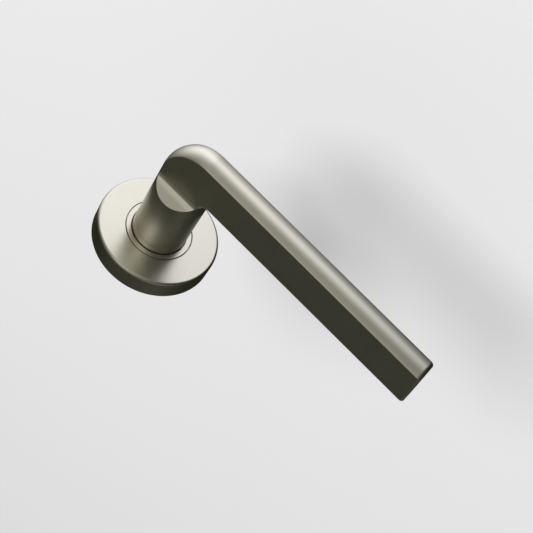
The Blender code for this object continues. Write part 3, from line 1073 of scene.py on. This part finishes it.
@dataclass
class Rose:
    """The visible shells of the rose: its cover and the ring round the neck."""

    radius: float = 26.0 * MM
    depth: float = 9.2 * MM
    wall: float = 1.1 * MM
    rim_round: float = 1.2 * MM
    hole: float = 14.3 * MM
    hole_edge: float = 0.12 * MM
    ring_inner: float = 11.9 * MM
    ring_outer: float = 14.0 * MM
    ring_edge: float = 0.15 * MM
    flange: float = 15.0 * MM
    flange_low: float = 5.95 * MM
    flange_high: float = 6.8 * MM
    foot_round: float = 0.25 * MM
    inner_round: float = 0.5 * MM
    cover_facets: int = 10
    ring_facets: int = 4
    steps: int = 240
    sharp: float = 28.0

    def cover_profile(self) -> list[tuple[float, float]]:
        """Draw the section of the pressed cover.

        Returns:
            Points of radius and depth, closing on themselves.
        """
        inside = self.radius - self.wall
        ceiling = self.depth - self.wall
        return rounded(
            [
                (self.hole + self.hole_edge, self.depth, 0.0),
                (self.radius, self.depth, self.rim_round),
                (self.radius, 0.0, self.foot_round),
                (inside, 0.0, self.foot_round),
                (inside, ceiling, self.inner_round),
                (self.hole, ceiling, 0.0),
                (self.hole, self.depth - self.hole_edge, 0.0),
            ],
            self.cover_facets,
        )

    def ring_profile(self) -> list[tuple[float, float]]:
        """Draw the section of the ring round the neck.

        Returns:
            Points of radius and depth, closing on themselves.
        """
        return rounded(
            [
                (self.ring_inner + self.ring_edge, self.depth, 0.0),
                (self.ring_outer, self.depth, self.ring_edge),
                (self.ring_outer, self.flange_high, 0.0),
                (self.flange, self.flange_high, 0.0),
                (self.flange, self.flange_low, 0.0),
                (self.ring_inner, self.flange_low, 0.0),
                (self.ring_inner, self.depth - self.ring_edge, 0.0),
            ],
            self.ring_facets,
        )

    def build(self, finishes: Finishes) -> None:
        """Build both shells and let them stand for their CAD nodes.

        Args:
            finishes: The handle's finishes.
        """
        shells = (
            ("rose_cover_satin", "rose_cover", self.cover_profile()),
            ("collar_ring_satin", "collar_ring", self.ring_profile()),
        )
        lathe = Lathe(finishes.turned)
        for name, node, profile in shells:
            shell = lathe.turn(name, profile, self.steps)
            stand_on_door(shell)
            finish_mesh(shell, finishes.turned, self.sharp)
            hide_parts(node)
            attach(shell, "rose")
            report(shell)


# ------------------------------------------------------------------ springs and screws


@dataclass
class ReturnSprings:
    """The two compression springs that lie in arcs round the rotor."""

    circle: float = 16.6 * MM
    depth: float = 4.5 * MM
    coil: float = 1.6 * MM
    wire: float = 0.3 * MM
    start: float = 99.8
    end: float = 155.8
    turns: float = 7.5
    closed_turns: float = 1.0
    closed_pitch: float = 0.62 * MM
    points_per_turn: int = 28
    wire_sides: int = 14
    sharp: float = 50.0

    def tree(self, material: bpy.types.Material) -> NodeTree:
        """Build the tree that winds a spring along its arc.

        Args:
            material: The wire's finish.

        Returns:
            The tree.
        """
        made = NodeTree("wound_spring")
        sizes = {
            "Circle": self.circle,
            "Depth": self.depth,
            "Coil Radius": self.coil,
            "Wire Radius": self.wire,
            "Start": 0.0,
            "Sweep": 1.0,
            "Turns": self.turns,
            "Closed Turns": self.closed_turns,
            "Closed Pitch": self.closed_pitch,
        }
        for name, size in sizes.items():
            made.take(name, "Float", size)
        made.take("Points", "Int", 100)
        graph = made.graph

        count = made.given("Points")
        line = graph.value("GeometryNodeMeshLine", {"mode": "OFFSET"}, {"Count": count})
        index = graph.value("GeometryNodeInputIndex")
        turns = made.given("Turns")
        closed = made.given("Closed Turns")
        turn = turns * index / (count - 1.0)
        first = graph.math("MINIMUM", turn, closed)
        last = graph.math("MAXIMUM", turn - (turns - closed), 0.0)
        arc = made.given("Sweep") * made.given("Circle")
        ends = 2.0 * closed * made.given("Closed Pitch")
        open_pitch = (arc - ends) / (turns - 2.0 * closed)
        travel = (first + last) * made.given("Closed Pitch") + (turn - first - last) * open_pitch
        angle = made.given("Start") + travel / made.given("Circle")
        phase = turn * (2.0 * math.pi)
        coil = made.given("Coil Radius")
        radius = made.given("Circle") + coil * graph.math("COSINE", phase)
        spot = graph.value(
            "ShaderNodeCombineXYZ",
            sockets={
                "X": radius * graph.math("COSINE", angle),
                "Y": radius * graph.math("SINE", angle),
                "Z": made.given("Depth") + coil * graph.math("SINE", phase),
            },
        )
        sockets = {"Geometry": line, "Position": spot}
        path = graph.value("GeometryNodeSetPosition", sockets=sockets)
        curve = graph.value("GeometryNodeMeshToCurve", sockets={"Mesh": path})
        sockets = {"Resolution": self.wire_sides, "Radius": made.given("Wire Radius")}
        section = graph.value("GeometryNodeCurvePrimitiveCircle", sockets=sockets)
        sockets = {"Curve": curve, "Profile Curve": section, "Fill Caps": True}
        wire = graph.value("GeometryNodeCurveToMesh", sockets=sockets)
        made.close(wire, material)
        return made

    def build(self, finishes: Finishes) -> None:
        """Wind both springs in their arcs.

        Args:
            finishes: The handle's finishes.
        """
        tree = self.tree(finishes.spring)
        for name, node, turn in (
            ("spring_wire_upper", "return_spring_upper", 0.0),
            ("spring_wire_lower", "return_spring_lower", 180.0),
        ):
            spring = new_object(bpy.data.meshes.new(name), name)
            values = {
                "Start": math.radians(self.start + turn),
                "Sweep": math.radians(self.end - self.start),
                "Points": round(self.turns * self.points_per_turn) + 1,
            }
            tree.run(spring, values)
            stand_on_door(spring)
            finish_mesh(spring, finishes.spring, self.sharp)
            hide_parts(node)
            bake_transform(spring)
            report(spring)


@dataclass
class LidScrews:
    """The countersunk cross-head screws of the lid."""

    count: int = 4
    circle: float = 20.8 * MM
    phase: float = 45.0
    head: float = 2.1 * MM
    shank: float = 1.15 * MM
    top: float = 7.75 * MM
    neck: float = 7.0 * MM
    end: float = 3.2 * MM
    recess: float = 0.28 * MM
    recess_reach: float = 1.2 * MM
    recess_depth: float = 0.5 * MM
    head_round: float = 0.1 * MM
    point: float = 0.3 * MM
    clearance: float = 1.0 * MM
    facets: int = 3
    sides: int = 40
    seed: int = 7

    def screw(self, finish: bpy.types.Material) -> bpy.types.Object:
        """Turn one screw on the axis.

        Args:
            finish: The screw's finish.

        Returns:
            The screw, in the rose's axes.
        """
        profile = rounded(
            [
                (0.0, self.top, 0.0),
                (self.head, self.top, self.head_round),
                (self.shank, self.neck, 0.0),
                (self.shank, self.end + self.point, 0.0),
                (self.shank - self.point, self.end, 0.0),
                (0.0, self.end, 0.0),
            ],
            self.facets,
        )
        item = Lathe(finish).turn("lid_screws_plated", profile, self.sides)
        low, high = self.top - self.recess_depth, self.top + self.clearance
        for across, along in ((self.recess, self.recess_reach), (self.recess_reach, self.recess)):
            slot = box("recess", (-across, -along, low), (across, along, high))
            combine(item, slot, "DIFFERENCE")
        return item

    def tree(self, material: bpy.types.Material) -> NodeTree:
        """Build the tree that sets the screws on their circle.

        Args:
            material: The screws' finish.

        Returns:
            The tree.
        """
        made = NodeTree("screws_on_circle")
        made.take("Count", "Int", self.count)
        made.take("Circle", "Float", self.circle)
        made.take("Phase", "Float", 0.0)
        made.take("Seed", "Int", self.seed)
        graph = made.graph
        circle = graph.value(
            "GeometryNodeMeshCircle",
            {"fill_type": "NONE"},
            {"Vertices": made.given("Count"), "Radius": made.given("Circle")},
        )
        turn = graph.value("ShaderNodeCombineXYZ", sockets={"Z": made.given("Phase")})
        sockets = {"Geometry": circle, "Rotation": turn}
        turned = graph.value("GeometryNodeTransform", sockets=sockets)
        spin = graph.value(
            "FunctionNodeRandomValue",
            {"data_type": "FLOAT"},
            {RANDOM_LOW: 0.0, RANDOM_HIGH: math.pi, "Seed": made.given("Seed")},
            RANDOM_RESULT,
        )
        rotation = graph.value("ShaderNodeCombineXYZ", sockets={"Z": spin})
        sockets = {"Points": turned, "Instance": made.given("Geometry"), "Rotation": rotation}
        placed = graph.value("GeometryNodeInstanceOnPoints", sockets=sockets)
        made.close(placed, material)
        return made

    def build(self, finishes: Finishes) -> None:
        """Set the screws in the lid.

        Args:
            finishes: The handle's finishes.
        """
        screws = self.screw(finishes.plated)
        values = {
            "Count": self.count,
            "Circle": self.circle,
            "Phase": math.radians(self.phase),
            "Seed": self.seed,
        }
        self.tree(finishes.plated).run(screws, values)
        stand_on_door(screws)
        finish_mesh(screws, finishes.plated)
        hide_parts(*[f"lid_screw_{number}" for number in range(1, self.count + 1)])
        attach(screws, "rose")
        report(screws)


# ------------------------------------------------------------------ carried parts


@dataclass(frozen=True)
class SmallPart:
    """A CAD part whose shape is kept and whose edges are broken."""

    node: str
    body: str
    slot: str
    edge: float
    segments: int = 2
    weld: float = 0.001 * MM
    flat_within: float = math.radians(0.5)
    edge_angle: float = math.radians(35.0)

    def build(self, material: bpy.types.Material) -> None:
        """Copy the part, round its edges and let the copy stand for it.

        Args:
            material: The part's finish.
        """
        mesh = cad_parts[self.node].data.copy()
        form = bmesh.new()
        form.from_mesh(mesh)
        bmesh.ops.remove_doubles(form, verts=form.verts, dist=self.weld)
        bmesh.ops.dissolve_limit(
            form, angle_limit=self.flat_within, verts=form.verts, edges=form.edges
        )
        form.to_mesh(mesh)
        form.free()
        piece = new_object(mesh, f"{self.node}_finished")
        if self.edge > 0.0:
            bevel = piece.modifiers.new("Edges", "BEVEL")
            bevel.width = self.edge
            bevel.segments = self.segments
            bevel.limit_method = "ANGLE"
            bevel.angle_limit = self.edge_angle
            bevel.use_clamp_overlap = True
            settle(piece)
        finish_mesh(piece, material)
        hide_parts(self.node)
        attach(piece, self.body)
        report(piece)


# ------------------------------------------------------------------ the studio


@dataclass(frozen=True)
class Glow:
    """A soft patch of light in the studio's surroundings, fading with the angle from its middle."""

    azimuth: float
    elevation: float
    falloff: float
    colour: tuple[float, float, float]

    def way(self) -> Vector:
        """Give the direction of the glow's middle.

        Returns:
            The direction, with azimuth 0 straight in front of the rose.
        """
        turn, lift = math.radians(self.azimuth), math.radians(self.elevation)
        return Vector(
            (math.cos(lift) * math.sin(turn), -math.cos(lift) * math.cos(turn), math.sin(lift))
        )


@dataclass
class Studio:
    """A pale floor, one soft key panel, dim surroundings with soft glows, and the camera."""

    floor_depth: float = 0.095
    floor_size: float = 40.0
    floor_tone: float = 0.8
    floor_drift: float = 0.985
    floor_roughness: float = 0.8
    floor_sheen: float = 0.2
    floor_segments: int = 8
    floor_clouds: float = 6.0
    floor_detail: float = 3.0
    backdrop: float = 0.52
    sensor: float = 36.0
    lens: float = 78.94
    nearest: float = 0.01
    camera_place: tuple[float, float, float] = (-0.0895, -0.38876, 0.27924)
    camera_aim: tuple[float, float, float] = (-0.0452, -0.04756, 0.00498)
    camera_roll: float = 130.63
    ambient: tuple[float, float, float] = (0.011, 0.013, 0.003)
    glows: tuple[Glow, ...] = (
        Glow(72.0, -42.0, 5.4, (1.33, 1.33, 1.33)),
        Glow(18.0, -36.5, 14.5, (1.04, 1.05, 1.10)),
        Glow(17.6, 9.9, 4.8, (0.34, 0.335, 0.30)),
        Glow(6.0, 42.0, 28.0, (0.75, 0.745, 0.70)),
        Glow(98.8, 73.9, 5.0, (0.12, 0.12, 0.105)),
        Glow(-75.0, 40.0, 7.0, (0.18, 0.18, 0.165)),
        Glow(-130.0, 22.0, 12.0, (0.055, 0.055, 0.05)),
        Glow(180.0, 0.0, 30.0, (0.40, 0.40, 0.40)),
    )
    key_place: tuple[float, float, float] = (1.1, -1.3, 2.4)
    key_size: float = 1.5
    key_power: float = 62.0

    def floor(self) -> None:
        """Lay the floor below the handle's reach."""
        form = bmesh.new()
        count = self.floor_segments
        bmesh.ops.create_grid(
            form, x_segments=count, y_segments=count, size=self.floor_size / 2.0
        )
        bmesh.ops.translate(form, vec=(0.0, 0.0, -self.floor_depth), verts=form.verts)
        plane = formed(form, "pale_floor")
        plane.visible_glossy = False
        material, graph, shader = start_material("pale_floor")
        place = graph.value("ShaderNodeTexCoord", name="Object")
        cloud = graph.noise(place, self.floor_clouds, self.floor_detail)
        dark, light = grey(self.floor_tone * self.floor_drift), grey(self.floor_tone)
        graph.link(graph.mix(cloud, dark, light), shader, "Base Color")
        shader.inputs["Roughness"].default_value = self.floor_roughness
        shader.inputs["Specular IOR Level"].default_value = self.floor_sheen
        plane.data.materials.append(material)

    def world(self) -> None:
        """Surround the handle with a pale backdrop that metal mirrors as a dim room with glows."""
        world = bpy.data.worlds.new("studio")
        world.use_nodes = True
        bpy.context.scene.world = world
        graph = Graph(world.node_tree)
        background = world.node_tree.nodes["Background"]
        way = graph.value("ShaderNodeTexCoord", name="Generated")
        light: Any = self.ambient
        for glow in self.glows:
            facing = graph.vector("DOT_PRODUCT", {0: way, 1: glow.way()}, "Value")
            strength = graph.math("POWER", graph.math("MAXIMUM", facing, 0.0), glow.falloff)
            patch = graph.vector("SCALE", {0: glow.colour, "Scale": strength})
            light = graph.vector("ADD", {0: light, 1: patch})
        mirrored = graph.value("ShaderNodeLightPath", name="Is Glossy Ray")
        graph.link(graph.mix(mirrored, grey(self.backdrop), light), background, "Color")

    def key(self) -> None:
        """Hang the soft panel that lights the floor and the plastic parts."""
        lamp = bpy.data.lights.new("key_panel", "AREA")
        lamp.shape = "SQUARE"
        lamp.size = self.key_size
        lamp.energy = self.key_power
        item = bpy.data.objects.new("key_panel", lamp)
        place = Vector(self.key_place)
        item.location = place
        item.rotation_euler = place.to_track_quat("Z", "Y").to_euler()
        item.visible_glossy = False
        bpy.context.scene.collection.objects.link(item)

    def camera(self) -> None:
        """Set the camera."""
        data = bpy.data.cameras.new("camera")
        data.sensor_width = self.sensor
        data.lens = self.lens
        data.clip_start = self.nearest
        item = bpy.data.objects.new("camera", data)
        place = Vector(self.camera_place)
        look = (Vector(self.camera_aim) - place).to_track_quat("-Z", "Y").to_matrix().to_4x4()
        roll = Matrix.Rotation(math.radians(-self.camera_roll), 4, "Z")
        item.matrix_world = Matrix.Translation(place) @ look @ roll
        bpy.context.scene.collection.objects.link(item)
        bpy.context.scene.camera = item

    def build(self) -> None:
        """Build the studio."""
        self.camera()
        self.world()
        self.floor()
        self.key()
        bpy.context.scene.view_settings.view_transform = "Standard"


# ------------------------------------------------------------------ main


def main() -> None:
    """Build the studio and every piece."""
    logging.basicConfig(level=logging.INFO, format="%(name)s: %(message)s")
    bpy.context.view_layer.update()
    Studio().build()
    finishes = Finishes()
    Lever().build(finishes)
    Rose().build(finishes)
    ReturnSprings().build(finishes)
    LidScrews().build(finishes)
    plated, nylon = finishes.plated, finishes.nylon
    small_parts = (
        ("base_plate", "rose", "zinc_casting", 0.15, finishes.casting),
        ("cover_snap_ring", "rose", "nylon", 0.1, nylon),
        ("threaded_sleeve_left", "rose", "zinc_plated_steel", 0.12, plated),
        ("threaded_sleeve_right", "rose", "zinc_plated_steel", 0.12, plated),
        ("bearing_bush", "rose", "nylon", 0.08, nylon),
        ("cassette_lid", "rose", "zinc_plated_steel", 0.08, plated),
        ("spindle", "lever", "zinc_plated_steel", 0.0, plated),
        ("grub_screw", "lever", "black_steel", 0.08, finishes.black),
        ("rotor", "lever", "zinc_plated_steel", 0.1, plated),
        ("circlip", "lever", "spring_steel", 0.06, finishes.spring),
        ("wave_washer", "lever", "spring_steel", 0.0, finishes.spring),
        ("thrust_washer", "lever", "acetal", 0.06, finishes.acetal),
    )
    for node, body, slot, edge, material in small_parts:
        SmallPart(node, body, slot, edge * MM).build(material)


if __name__ == "__main__":
    main()
